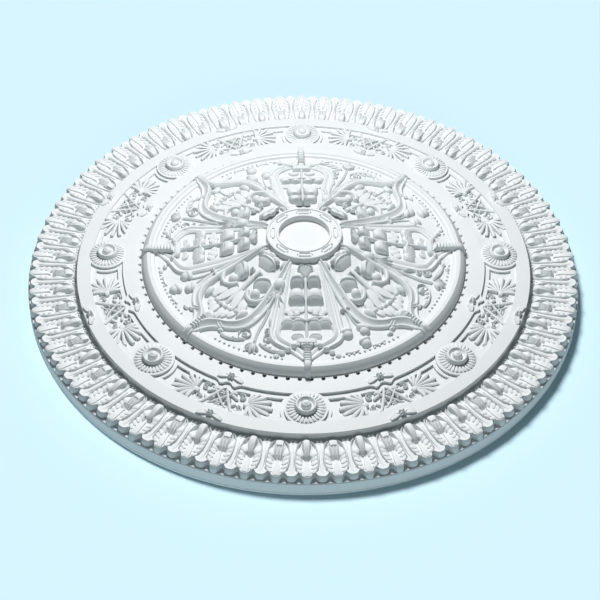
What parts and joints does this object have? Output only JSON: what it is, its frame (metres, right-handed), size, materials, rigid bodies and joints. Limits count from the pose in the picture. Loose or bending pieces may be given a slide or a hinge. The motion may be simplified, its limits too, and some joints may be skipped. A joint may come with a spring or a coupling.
{
  "type": "ceiling rose",
  "caption": "Round white moulded ceiling rose with a leaf border, a frieze of rosettes and sunk panels, a carved central dish and a seat for a lamp canopy.",
  "frame": {"origin": "centre of the flat back face, which is glued to the ceiling and on which the rose lies", "axes": "+Z out of the carved face, -Y towards the viewer of the picture, +X to the right"},
  "size_m": [1.5, 1.5, 0.1495],
  "materials": {
    "primed_polyurethane": "satin white primer"
  },
  "bodies": {
    "root": {"ceiling_rose": "primed_polyurethane"}
  },
  "joints": []
}
